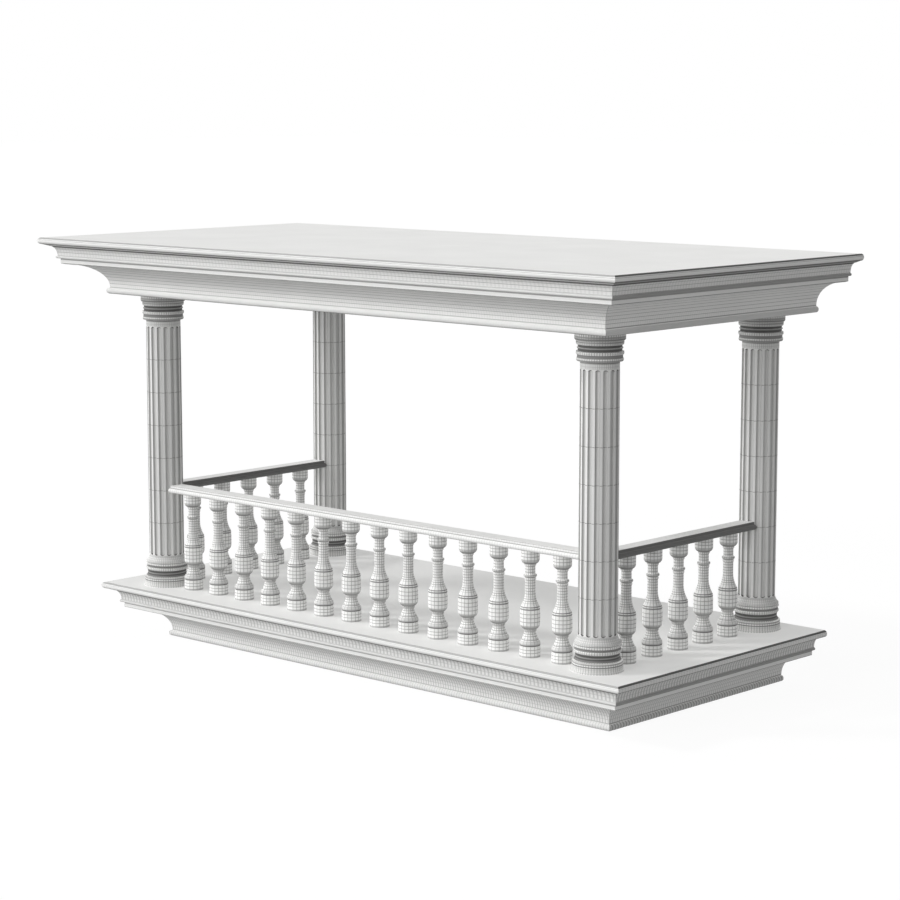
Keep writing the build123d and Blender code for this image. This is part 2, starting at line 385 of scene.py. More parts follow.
    def noise(self, scale: float, detail: float, stretch: Point = (1.0, 1.0, 1.0)) -> Socket:
        """Adds a cloudy pattern fixed to the object.

        Args:
            scale: How many clouds there are to a metre.
            detail: How many finer layers lie over it.
            stretch: How much faster it changes along each axis.

        Returns:
            A value that mostly lies between CLOUD_LOW and CLOUD_HIGH.
        """
        stretched = self.add("ShaderNodeMapping")
        stretched.inputs["Scale"].default_value = stretch
        self.feed(stretched.inputs["Vector"], self.spot())
        cloud = self.add("ShaderNodeTexNoise")
        cloud.inputs["Scale"].default_value = scale
        cloud.inputs["Detail"].default_value = detail
        self.feed(cloud.inputs["Vector"], stretched.outputs[0])
        return cloud.outputs["Fac"]


def blank(owner: bpy.types.Material | bpy.types.World) -> ShadeWriter:
    """Clears the nodes of a material or a world.

    Args:
        owner: The material or world.

    Returns:
        A writer for its new nodes.
    """
    owner.use_nodes = True
    owner.node_tree.nodes.clear()
    return ShadeWriter(owner.node_tree)


def place_new(name: str, data: bpy.types.ID) -> bpy.types.Object:
    """Makes an object and links it to the scene.

    Args:
        name: The object's name.
        data: Its mesh, lamp or camera.

    Returns:
        The object.
    """
    piece = bpy.data.objects.new(name, data)
    bpy.context.scene.collection.objects.link(piece)
    return piece


def aim(piece: bpy.types.Object, way: Vector, axis: str) -> None:
    """Turns an object so that one of its axes points a given way.

    Args:
        piece: The object.
        way: The way to point.
        axis: The axis that points there.
    """
    piece.rotation_mode = "QUATERNION"
    piece.rotation_quaternion = way.to_track_quat(axis, "Y")


@dataclass(frozen=True)
class SlabPoint:
    """Where a point lies on a slab.

    Attributes:
        x: Its place along the front.
        y: Its place along an end.
        depth: Its depth under the slab's top.
        at_side: A mask of the two ends.
        at_front: A mask of the rest.
    """

    x: Socket
    y: Socket
    depth: Socket
    at_side: Socket
    at_front: Socket


@dataclass(frozen=True)
class RunTooling:
    """The tooled lines of a moulded slab, across and along its mouldings.

    Attributes:
        top: Height of the slab's top.
        half_length: Half the slab's length at the nosing.
        front: Where its nosing reaches in front.
        cross_tone: How dark the fine lines across its cove and foot are.
        stroke_tone: How dark the broader strokes are on the upper mouldings of an end.
        along_tone: How dark the lines along its curved mouldings are.
        nosing: Height of the half-round nosing.
        quirk: Height of the groove under it.
        cavetto: Height of the upper hollow.
        bead: Height of the bead under that.
        fascia: Height of the plain fascia.
        soffit: Fall of the soffit.
        cove: Height of the deep cove.
        neck: Height of the neck under it.
        cross_pitch: Room between the lines that cross the cove and the foot.
        cross_width: Width of such a line on the foot.
        cove_cross_width: Its width on the cove.
        stroke_pitch: Room between the broader strokes that cross the end mouldings.
        front_stroke_pitch: Room between those that cross the front ones.
        stroke_width: Width of a stroke.
        front_strokes: How much of the strokes' tone those on the front have.
        nosing_strokes: How much of it those on an end's nosing have.
        foot_strokes: How much of it those on an end's foot have.
        along_width: Width of a line along a curved moulding.
        nosing_turn: Turn of the nosing's curve from one such line to the next, in degrees.
        cavetto_turn: The same for the cavetto.
        cove_turn: The same for the cove.
        curve_end: Share of a curve's height at each end that stays free of them.
        mitre_width: Width of the line on the mitre.
        mitre_tone: How dark it is.
        backmost: How far a face may turn to the back and still be tooled.
        flattest: How far it may turn upwards.
        run_marks: The separate lines and stretches along the mouldings, partly tooled lines and
            partly painted shade, such as in the quirk and under the bead.
    """

    top: float
    half_length: float
    front: float
    cross_tone: float
    stroke_tone: float
    along_tone: float
    nosing: float = 0.058
    quirk: float = 0.018
    cavetto: float = 0.087
    bead: float = 0.024
    fascia: float = 0.045
    soffit: float = 0.008
    cove: float = 0.205
    neck: float = 0.008
    cross_pitch: float = 0.028
    cross_width: float = 0.0036
    cove_cross_width: float = 0.0072
    stroke_pitch: float = 0.035
    front_stroke_pitch: float = 0.04025
    stroke_width: float = 0.018
    front_strokes: float = 0.8
    nosing_strokes: float = 0.5
    foot_strokes: float = 1.8
    along_width: float = 0.0036
    nosing_turn: float = 36.0
    cavetto_turn: float = 22.5
    cove_turn: float = 9.0
    curve_end: float = 0.01
    mitre_width: float = 0.006
    mitre_tone: float = 0.6
    backmost: float = 0.5
    flattest: float = 0.985
    # Partly tooled lines and partly painted shade: the quirk and the stretch under the bead are
    # darkened as shade, and the ends more than the front as a face in shade.
    run_marks: tuple[RunMark, ...] = (
        RunMark(Edge.TOP, 0.0004, 0.0125, front=0.52, end=0.93),
        RunMark(Edge.QUIRK, -0.0455, -0.005, front=0.0, end=0.06),
        RunMark(Edge.QUIRK, -0.011, -0.005, front=0.0, end=0.80),
        RunMark(Edge.QUIRK, -0.005, 0.005, front=0.80, end=0.84),
        RunMark(Edge.QUIRK, 0.005, 0.015, front=0.0, end=0.60),
        RunMark(Edge.CAVETTO, -0.003, 0.011, front=0.84, end=0.93),
        RunMark(Edge.BEAD, -0.004, 0.004, front=0.26, end=0.60),
        RunMark(Edge.BEAD, 0.004, 0.024, front=0.08, end=0.60),
        RunMark(Edge.FASCIA, 0.0, 0.013, front=0.54, end=0.58),
        RunMark(Edge.SOFFIT, -0.004, 0.005, front=0.60, end=0.66),
        RunMark(Edge.NECK, -0.002, 0.006, front=0.40, end=0.60),
        RunMark(Edge.FOOT, 0.0, 0.046, front=0.04, end=0.27),
        RunMark(Edge.FOOT, 0.046, 0.052, front=0.60, end=0.50),
    )

    def edges(self) -> dict[Edge, float]:
        """Works out how deep each edge lies.

        Returns:
            Each edge's depth under the slab's top.
        """
        heights = (
            self.nosing,
            self.quirk,
            self.cavetto,
            self.bead,
            self.fascia,
            self.soffit,
            self.cove,
            self.neck,
        )
        depths = [0.0]
        for height in heights:
            depths.append(depths[-1] + height)
        return dict(zip(Edge, depths))

    def marks(self, pen: ShadeWriter) -> Socket:
        """Writes every line of the slab.

        Args:
            pen: The writer of the stone's nodes.

        Returns:
            A mask, darker where it is nearer to 1.
        """
        x, y, z = pen.place()
        side, front, up = pen.facing()
        depth = pen.sum("SUBTRACT", self.top, z)
        at_side = pen.faces_side(side, front)
        point = SlabPoint(x, y, depth, at_side, pen.rest(at_side))
        marks = [
            *self.cross_marks(pen, point),
            *self.strokes(pen, point),
            *self.marks_along(pen, point),
            self.mitre(pen, point),
        ]
        off_back = pen.sum("LESS_THAN", front, self.backmost)
        off_top = pen.sum("LESS_THAN", up, self.flattest)
        return pen.product(pen.deepest(marks), off_back, off_top)

    def cross_marks(self, pen: ShadeWriter, point: SlabPoint) -> list[Socket]:
        """Writes the fine lines that cross the cove and the foot.

        Args:
            pen: The writer of the stone's nodes.
            point: The point that they are written for.

        Returns:
            A mask for each set of lines.
        """
        edges = self.edges()
        cove = pen.between(point.depth, edges[Edge.COVE], edges[Edge.NECK])
        foot = pen.sum("GREATER_THAN", point.depth, edges[Edge.FOOT])
        foot_lines = pen.lines(point.x, self.cross_pitch, self.cross_width)
        front_lines = pen.lines(point.x, self.cross_pitch, self.cove_cross_width)
        end_lines = pen.lines(point.y, self.cross_pitch, self.cove_cross_width)
        return [
            pen.product(foot_lines, point.at_front, foot, self.cross_tone),
            pen.product(front_lines, point.at_front, cove, self.cross_tone),
            pen.product(end_lines, point.at_side, cove, self.cross_tone),
        ]

    def strokes(self, pen: ShadeWriter, point: SlabPoint) -> list[Socket]:
        """Writes the broader strokes that cross the mouldings.

        Args:
            pen: The writer of the stone's nodes.
            point: The point that they are written for.

        Returns:
            A mask for each set of strokes.
        """
        edges = self.edges()
        upper = pen.between(point.depth, edges[Edge.QUIRK], edges[Edge.BEAD])
        nosing = pen.sum("LESS_THAN", point.depth, edges[Edge.QUIRK])
        foot = pen.sum("GREATER_THAN", point.depth, edges[Edge.FOOT])
        front_set = pen.lines(point.x, self.front_stroke_pitch, self.stroke_width)
        end_set = pen.product(
            pen.lines(point.y, self.stroke_pitch, self.stroke_width), point.at_side
        )
        front_tone = self.stroke_tone * self.front_strokes
        return [
            pen.product(front_set, point.at_front, upper, front_tone),
            pen.product(end_set, upper, self.stroke_tone),
            pen.product(end_set, nosing, self.stroke_tone * self.nosing_strokes),
            pen.product(end_set, foot, self.stroke_tone * self.foot_strokes),
        ]

    def marks_along(self, pen: ShadeWriter, point: SlabPoint) -> list[Socket]:
        """Writes the lines and the stretches of painted shade that run along the mouldings.

        Args:
            pen: The writer of the stone's nodes.
            point: The point that they are written for.

        Returns:
            A mask for each set.
        """
        edges = self.edges()
        curves = (
            (edges[Edge.TOP], self.nosing / 2, self.nosing_turn),
            (edges[Edge.CAVETTO], self.cavetto, self.cavetto_turn),
            (edges[Edge.COVE], self.cove, self.cove_turn),
        )
        marks = [self.swept(pen, point.depth, *curve) for curve in curves]
        # Each run mark paints a tooled line or painted shade, darker on the ends.
        for mark in self.run_marks:
            edge = edges[mark.edge]
            inside = pen.between(point.depth, edge + mark.start, edge + mark.stop)
            tone = pen.sum("ADD", pen.product(point.at_side, mark.end - mark.front), mark.front)
            marks.append(pen.product(inside, tone))
        return marks

    def swept(
        self, pen: ShadeWriter, depth: Socket, top: float, height: float, turn: float
    ) -> Socket:
        """Writes the lines that run along a curved moulding at even turns of its curve.

        Args:
            pen: The writer of the stone's nodes.
            depth: A point's depth under the slab's top.
            top: Depth at which the curve starts.
            height: Height of the curve.
            turn: Turn from one line to the next, in degrees.

        Returns:
            A mask of the lines.
        """
        share = pen.sum("DIVIDE", pen.sum("SUBTRACT", depth, top), height)
        swing = pen.sum("ARCCOSINE", pen.rest(share))
        low, high = height * self.curve_end, height * (1 - self.curve_end)
        inside = pen.between(depth, top + low, top + high)
        lines = pen.lines(swing, math.radians(turn), self.along_width / height)
        return pen.product(lines, inside, self.along_tone)

    def mitre(self, pen: ShadeWriter, point: SlabPoint) -> Socket:
        """Writes the line on the mitres, where an end's mouldings meet the front's.

        Args:
            pen: The writer of the stone's nodes.
            point: The point that it is written for.

        Returns:
            A mask of the line.
        """
        end_room = pen.sum("SUBTRACT", self.half_length, pen.sum("ABSOLUTE", point.x))
        front_room = pen.sum("SUBTRACT", point.y, self.front)
        line = pen.line(pen.sum("SUBTRACT", end_room, front_room), 0.0, self.mitre_width)
        below = pen.sum("GREATER_THAN", point.depth, self.nosing)
        return pen.product(line, below, self.mitre_tone)


@dataclass(frozen=True)
class TurnedTooling:
    """The tooled lines of a turned piece: uprights round it and rings up its height, with painted
    shade over some bands of its profile.

    Attributes:
        level: Height that its bands and creases are measured from.
        bands: The stretches of its profile.
        upright_width: Width of an upright line.
        upright_tone: How dark an upright line is.
        creases: Its separate dark rings.
        uprights: How many upright lines stand round it.
        upright_reach: Height at which the uprights stop, over any piece unless it is given.
        upright_restart: Height at which they start again.
        ring_width: Width of a ring.
        ring_tone: How dark a ring is.
        flattest: How far a face may turn up or down and still be tooled.
    """

    level: float
    bands: tuple[Band, ...]
    upright_width: float
    upright_tone: float
    creases: tuple[Crease, ...] = ()
    uprights: int = 16
    upright_reach: float = 3.0
    upright_restart: float = 3.0
    ring_width: float = 0.0034
    ring_tone: float = 0.45
    flattest: float = 0.995

    def marks(self, pen: ShadeWriter, out: Socket, over: Socket) -> Socket:
        """Writes every line of the piece.

        Args:
            pen: The writer of the stone's nodes.
            out: Distance from the piece's axis along x.
            over: Distance from the piece's axis along y.

        Returns:
            A mask, darker where it is nearer to 1.
        """
        height = pen.sum("SUBTRACT", pen.place()[2], self.level)
        off_flat = pen.sum("LESS_THAN", pen.sum("ABSOLUTE", pen.facing()[2]), self.flattest)
        away = pen.sum("PINGPONG", pen.sum("ARCTAN2", over, out), math.pi / self.uprights)
        upright = pen.soften(pen.product(away, pen.radius(out, over)), self.upright_width)
        plain = pen.between(height, self.upright_reach, self.upright_restart)
        marks = [pen.product(upright, pen.rest(plain), self.upright_tone)]
        for band in self.bands:
            inside = pen.between(height, band.low, band.high)
            if band.pitch:
                over_low = pen.sum("SUBTRACT", height, band.low)
                rings = pen.lines(over_low, band.pitch, self.ring_width)
                marks.append(pen.product(rings, inside, self.ring_tone))
            # Painted shade over the band's whole stretch.
            if band.painted_shade:
                marks.append(pen.product(inside, band.painted_shade))
        marks += pen.creases(height, self.creases)
        return pen.product(pen.deepest(marks), off_flat)


@dataclass(frozen=True)
class FluteTooling:
    """The arrises of a shaft's flutes, with painted shade on their walls and round their domed
    ends.

    Attributes:
        low: Height of a flute's lower tip.
        high: Height of its upper tip.
        flutes: How many flutes a shaft has.
        half_width: Half the width of a flute.
        rise: Rise of its domed ends.
        core: How much of the half width keeps the lighter painted shade of the middle.
        blend: How much of it the painted shade of the walls takes to reach its full tone.
        wall_shade: How dark the painted shade on a flute's walls is, from 0 to 1.
        core_shade: How dark the painted shade in its middle is.
        arris_width: Width of the line along an arris.
        arris_tone: How dark that line is.
        end_width: Width of the painted shade round an end; its inner half is fully dark.
        end_tone: How dark that painted shade is.
    """

    low: float
    high: float
    flutes: int
    half_width: float
    rise: float
    core: float = 0.30
    blend: float = 0.4
    wall_shade: float = 0.44
    core_shade: float = 0.20
    arris_width: float = 0.004
    arris_tone: float = 0.3
    end_width: float = 0.008
    end_tone: float = 0.88

    def marks(self, pen: ShadeWriter, out: Socket, over: Socket) -> Socket:
        """Writes the flutes' lines and painted shade.

        Args:
            pen: The writer of the stone's nodes.
            out: Distance from the shaft's axis along x.
            over: Distance from the shaft's axis along y.

        Returns:
            A mask, darker where it is nearer to 1.
        """
        height = pen.place()[2]
        half_pitch = math.pi / self.flutes
        off_land = pen.sum("PINGPONG", pen.sum("ARCTAN2", over, out), half_pitch)
        aside = pen.product(pen.sum("SUBTRACT", half_pitch, off_land), pen.radius(out, over))
        share = pen.sum("DIVIDE", aside, self.half_width)
        fall = pen.product(share, share, self.rise)
        above = pen.sum("SUBTRACT", pen.sum("SUBTRACT", height, self.low), fall)
        below = pen.sum("SUBTRACT", pen.sum("SUBTRACT", self.high, height), fall)
        along = pen.sum("MINIMUM", above, below)
        in_run = pen.sum("GREATER_THAN", along, 0.0)
        inside = pen.product(pen.sum("LESS_THAN", share, 1.0), in_run)
        # Painted shade in the flute's hollow, darkest on its walls.
        walls = pen.ramp(share, self.core, self.core + self.blend, self.core_shade, self.wall_shade)
        arris = pen.line(aside, self.half_width, self.arris_width)
        # Painted shade round the flute's domed ends.
        end = pen.ramp(along, self.end_width / 2, self.end_width, self.end_tone, 0.0)
        return pen.deepest([
            pen.product(walls, inside),
            pen.product(arris, in_run, self.arris_tone),
            pen.product(end, inside),
        ])


@dataclass(frozen=True)
class RailTooling:
    """The fine lines along a handrail and the painted shade on its sides.

    Attributes:
        bed: Height of the rail's underside.
        creases: The lines along it, measured from its underside.
        painted_side_shade: How dark the painted shade on its sides is.
        roll: Height of the top roll over the rail's underside.
        flattest: How far a face may turn upwards and still count as a side.
        cross_pitch: Room between the lines that cross its sides.
        cross_width: Width of a cross line.
        cross_tone: How dark a cross line is.
    """

    bed: float
    creases: tuple[Crease, ...]
    painted_side_shade: float
    roll: float = 0.0645
    flattest: float = 0.9
    cross_pitch: float = 0.028
    cross_width: float = 0.0034
    cross_tone: float = 0.25

    def marks(self, pen: ShadeWriter) -> Socket:
        """Writes every line of the rail.

        Args:
            pen: The writer of the stone's nodes.

        Returns:
            A mask, darker where it is nearer to 1.
        """
        x, y, z = pen.place()
        side, front, up = pen.facing()
        height = pen.sum("SUBTRACT", z, self.bed)
        turned_out = pen.sum("LESS_THAN", up, self.flattest)
        steep = pen.sum("MAXIMUM", turned_out, pen.sum("LESS_THAN", height, self.roll))
        at_side = pen.faces_side(side, front)
        along = pen.sum("ADD", pen.product(y, at_side), pen.product(x, pen.rest(at_side)))
        cross = pen.lines(along, self.cross_pitch, self.cross_width)
        marks = [pen.product(cross, self.cross_tone), *pen.creases(height, self.creases)]
        # Painted shade on all of the rail but its flat top.
        if self.painted_side_shade:
            marks.append(pen.product(steep, self.painted_side_shade))
        return pen.product(pen.deepest(marks), steep)


@dataclass(frozen=True)
class LimestoneFinish:
    """A pale rubbed limestone with fine tooling, soft mottling and a matt face.

    Attributes:
        name: The material's name.
        stone: Colour of the stone where no line or painted shade lies.
        shade: Colour in the bottom of a tooled line or where shade is painted in a hollow.
        clouds: How many broad clouds there are to a metre.
        cloud_stretch: How much faster they change along each axis.
        mottling: How much they lighten and darken the stone.
        grains: How many fine grains there are to a metre.
        grain: How much they lighten and darken it.
        pores: How many small pores there are to a metre.
        pore_floor: How much of a pore's room is its fully dark bottom.
        pore_rim: How much of it the whole pore takes.
        pore_tone: How dark a pore is.
        roughness: Mean roughness of the face.
        roughness_play: How far the grain moves it up and down.
        gloss: Strength of the face's faint sheen.
        relief: Depth of a tooled line, in metres.
        texture: Height of the grain, in metres.
        relief_share: How much of its height the relief shows.
    """

    name: str
    stone: Colour = (0.80, 0.80, 0.79)
    shade: Colour = (0.045, 0.045, 0.043)
    clouds: float = 1.7
    cloud_stretch: Point = (1.0, 1.0, 1.6)
    mottling: float = 0.05
    grains: float = 210.0
    grain: float = 0.05
    pores: float = 95.0
    pore_floor: float = 0.05
    pore_rim: float = 0.16
    pore_tone: float = 0.18
    roughness: float = 0.82
    roughness_play: float = 0.08
    gloss: float = 0.25
    relief: float = 0.0006
    texture: float = 0.00025
    relief_share: float = 0.6

    def open(self) -> tuple[bpy.types.Material, ShadeWriter]:
        """Starts the material and gives it with the writer of its nodes."""
        material = bpy.data.materials.new(self.name)
        return material, blank(material)

    def close(self, pen: ShadeWriter, marks: Socket) -> None:
        """Turns the marks into colour, roughness and relief and joins them to the shader.

        Args:
            pen: The writer of the stone's nodes.
            marks: A mask, darker where it is nearer to 1.
        """
        clouds = pen.noise(self.clouds, detail=4.0, stretch=self.cloud_stretch)
        grain = pen.noise(self.grains, detail=3.0)
        pit = self.pits(pen)
        clean = pen.ramp(clouds, CLOUD_LOW, CLOUD_HIGH, 1.0 - self.mottling, 1.0)
        fine = pen.ramp(grain, CLOUD_LOW, CLOUD_HIGH, 1.0 - self.grain, 1.0)
        lit = pen.product(clean, fine, pen.rest(pen.product(pit, self.pore_tone)))
        dull, shiny = self.roughness + self.roughness_play, self.roughness - self.roughness_play
        shader = pen.add("ShaderNodeBsdfPrincipled")
        shader.inputs["Specular IOR Level"].default_value = self.gloss
        pen.feed(shader.inputs["Base Color"], self.colour(pen, pen.product(lit, pen.rest(marks))))
        pen.feed(shader.inputs["Roughness"], pen.ramp(grain, CLOUD_LOW, CLOUD_HIGH, shiny, dull))
        pen.feed(shader.inputs["Normal"], self.bump(pen, grain, marks, pit))
        pen.feed(pen.add("ShaderNodeOutputMaterial").inputs["Surface"], shader.outputs[0])

    def pits(self, pen: ShadeWriter) -> Socket:
        """Scatters small pores over the face.

        Args:
            pen: The writer of the stone's nodes.

        Returns:
            A mask, 1 in the bottom of a pore.
        """
        pores = pen.add("ShaderNodeTexVoronoi", feature="F1")
        pores.inputs["Scale"].default_value = self.pores
        pen.feed(pores.inputs["Vector"], pen.spot())
        return pen.ramp(pores.outputs["Distance"], self.pore_floor, self.pore_rim, 1.0, 0.0)

    def colour(self, pen: ShadeWriter, share: Socket) -> Socket:
        """Mixes the stone's colour.

        Args:
            pen: The writer of the stone's nodes.
            share: How much of the stone's colour shows through its lines and painted shade, from 0
                to 1.

        Returns:
            The colour.
        """
        mix = pen.add("ShaderNodeMix", data_type="RGBA")
        shade, stone = [socket for socket in mix.inputs if socket.type == "RGBA"]
        shade.default_value = (*self.shade, 1.0)
        stone.default_value = (*self.stone, 1.0)
        pen.feed(mix.inputs["Factor"], share)
        return next(socket for socket in mix.outputs if socket.type == "RGBA")

    def bump(self, pen: ShadeWriter, grain: Socket, marks: Socket, pit: Socket) -> Socket:
        """Raises the grain and sinks the tooled lines and pores.

        Args:
            pen: The writer of the stone's nodes.
            grain: The fine grain.
            marks: A mask of the tooled lines.
            pit: A mask of the pores.

        Returns:
            The normal of the tooled face.
        """
        cut = pen.sum("SUBTRACT", pen.product(grain, self.texture), pen.product(marks, self.relief))
        bump = pen.add("ShaderNodeBump")
        bump.inputs["Distance"].default_value = 1.0
        bump.inputs["Strength"].default_value = self.relief_share
        pen.feed(bump.inputs["Height"], pen.sum("SUBTRACT", cut, pen.product(pit, self.texture)))
        return bump.outputs["Normal"]


def dress(node: str, material: bpy.types.Material) -> None:
    """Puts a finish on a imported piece.

    Args:
        node: The piece's name in the frame.
        material: Its finish.
    """
    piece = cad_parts[node]
    if not piece.material_slots:
        piece.data.materials.append(material)
    for slot in piece.material_slots:
        slot.material = material


def middle(node: str) -> Vector:
    """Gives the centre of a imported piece's box.

    Args:
        node: The piece's name in the frame.

    Returns:
        The centre, in metres.
    """
    low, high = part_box(node)
    return (low + high) / 2


@dataclass
class Slab:
    """The deck or the roof: a nosing, a cornice and a cove course.

    Attributes:
        name: Which slab it is.
        cross_tone: How dark the lines across its mouldings are.
        stroke_tone: How dark the broader strokes are.
        along_tone: How dark the lines along its mouldings are.
        courses: Its courses, from the top down.
    """

    name: str
    cross_tone: float = 0.42
    stroke_tone: float = 0.34
    along_tone: float = 0.42
    courses: tuple[str, ...] = ("nosing_course", "cornice_course", "cove_course")

    def finish(self) -> bpy.types.Material:
        """Makes the slab's stone.

        Returns:
            The material.
        """
        low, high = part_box(f"{self.name}_{self.courses[0]}")
        finish = LimestoneFinish(f"{self.name}_limestone")
        material, pen = finish.open()
        tooling = RunTooling(
            top=high.z,
            half_length=high.x,
            front=low.y,
            cross_tone=self.cross_tone,
            stroke_tone=self.stroke_tone,
            along_tone=self.along_tone,
        )
        finish.close(pen, tooling.marks(pen))
        return material

    def dress(self) -> None:
        """Puts the stone on every course."""
        material = self.finish()
        for course in self.courses:
            dress(f"{self.name}_{course}", material)
        LOG.info("%s: %d courses", self.name, len(self.courses))


@dataclass
class BalusterRow:
    """One run of turned balusters.

    Attributes:
        row: Which run it is.
        stone: Colour of the stone where no line or painted shade lies.
        bands: The stretches of a baluster's profile, from the deck up.
        creases: Its separate dark rings.
    """

    row: Row
    stone: Colour = (0.84, 0.84, 0.83)
    # Where a band darkens its stretch, that is painted shade in a hollow or under a ring.
    bands: tuple[Band, ...] = (
        Band(-0.014, 0.088, 0.0260),
        Band(0.091, 0.101, painted_shade=0.85),
        Band(0.101, 0.110, painted_shade=0.45),
        Band(0.110, 0.130, painted_shade=0.22),
        Band(0.150, 0.196, 0.0190),
        Band(0.196, 0.204, painted_shade=0.20),
        Band(0.204, 0.222, painted_shade=0.40),
        Band(0.222, 0.227, painted_shade=0.28),
        Band(0.227, 0.243, painted_shade=0.62),
        Band(0.243, 0.252, painted_shade=0.46),
        Band(0.252, 0.260, painted_shade=0.18),
        Band(0.2555, 0.370, 0.0325),
        Band(0.385, 0.396, painted_shade=0.72),
        Band(0.4375, 0.488, 0.0175),
        Band(0.4895, 0.634, 0.0225),
        Band(0.641, 0.653, painted_shade=0.58),
        Band(0.653, 0.667, painted_shade=0.28),
        Band(0.664, 0.745, 0.0240),
        Band(0.749, 0.757, painted_shade=0.35),
        Band(0.757, 0.767, painted_shade=0.74),
        Band(0.767, 0.776, painted_shade=0.50),
        Band(0.776, 0.789, painted_shade=0.36),
        Band(0.790, 0.863, 0.0260),
    )
    creases: tuple[Crease, ...] = (
        Crease(0.005, 0.010, 0.50),
        Crease(0.130, 0.005, 0.45),
        Crease(0.142, 0.008, 0.60),
        Crease(0.206, 0.004, 0.50),
        Crease(0.408, 0.008, 0.84),
        Crease(0.624, 0.008, 0.55),
        Crease(0.665, 0.007, 0.50),
        Crease(0.736, 0.008, 0.50),
    )

    def names(self) -> list[str]:
        """Lists the row's balusters in order."""
        start = f"baluster_{self.row.value}_"
        return sorted(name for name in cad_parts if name.startswith(start))

    def finish(self) -> bpy.types.Material:
        """Makes the row's stone, with its lines centred on each baluster's axis.

        Returns:
            The material.
        """
        names = self.names()
        first, last = middle(names[0]), middle(names[-1])
        pitch = (last - first).length / (len(names) - 1)
        finish = LimestoneFinish(f"baluster_{self.row.value}_limestone", stone=self.stone)
        material, pen = finish.open()
        x, y, _ = pen.place()
        out = pen.sum("SUBTRACT", x, first.x)
        over = pen.sum("SUBTRACT", y, first.y)
        if self.row is Row.FRONT:
            out = pen.sum("WRAP", out, pitch / 2, -pitch / 2)
        else:
            over = pen.sum("WRAP", over, pitch / 2, -pitch / 2)
        tooling = TurnedTooling(
            level=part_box(names[0])[0].z,
            bands=self.bands,
            creases=self.creases,
            upright_width=0.0044,
            upright_tone=0.66,
            ring_width=0.0054,
            ring_tone=0.64,
        )
        finish.close(pen, tooling.marks(pen, out, over))
        return material

    def dress(self) -> None:
        """Puts the stone on every baluster of the row."""
        material = self.finish()
        for name in self.names():
            dress(name, material)
        LOG.info("%s row: %d balusters", self.row.value, len(self.names()))


@dataclass
class Handrail:
    """One run of the moulded handrail.

    Attributes:
        row: Which run it is.
        end_run_shade: How dark the painted shade on the sides of the two end runs is; the front run
            has none.
        creases: The lines along it, measured from its underside.
    """

    row: Row
    end_run_shade: float = 0.84
    creases: tuple[Crease, ...] = (
        Crease(0.002, 0.004, 0.5),
        Crease(0.044, 0.004, 0.65),
        Crease(0.064, 0.004, 0.55),
    )

    def dress(self) -> None:
        """Makes the rail's stone and puts it on."""
        name = f"handrail_{self.row.value}"
        low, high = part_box(name)
        # Only the two end runs get painted shade on their sides, as they stand in shade.
        painted_side_shade = 0.0 if self.row is Row.FRONT else self.end_run_shade
        finish = LimestoneFinish(f"{name}_limestone")
        material, pen = finish.open()
        tooling = RailTooling(bed=low.z, creases=self.creases, painted_side_shade=painted_side_shade)
        finish.close(pen, tooling.marks(pen))
        dress(name, material)
        LOG.info("%s: %.2f m long", name, max(high - low))


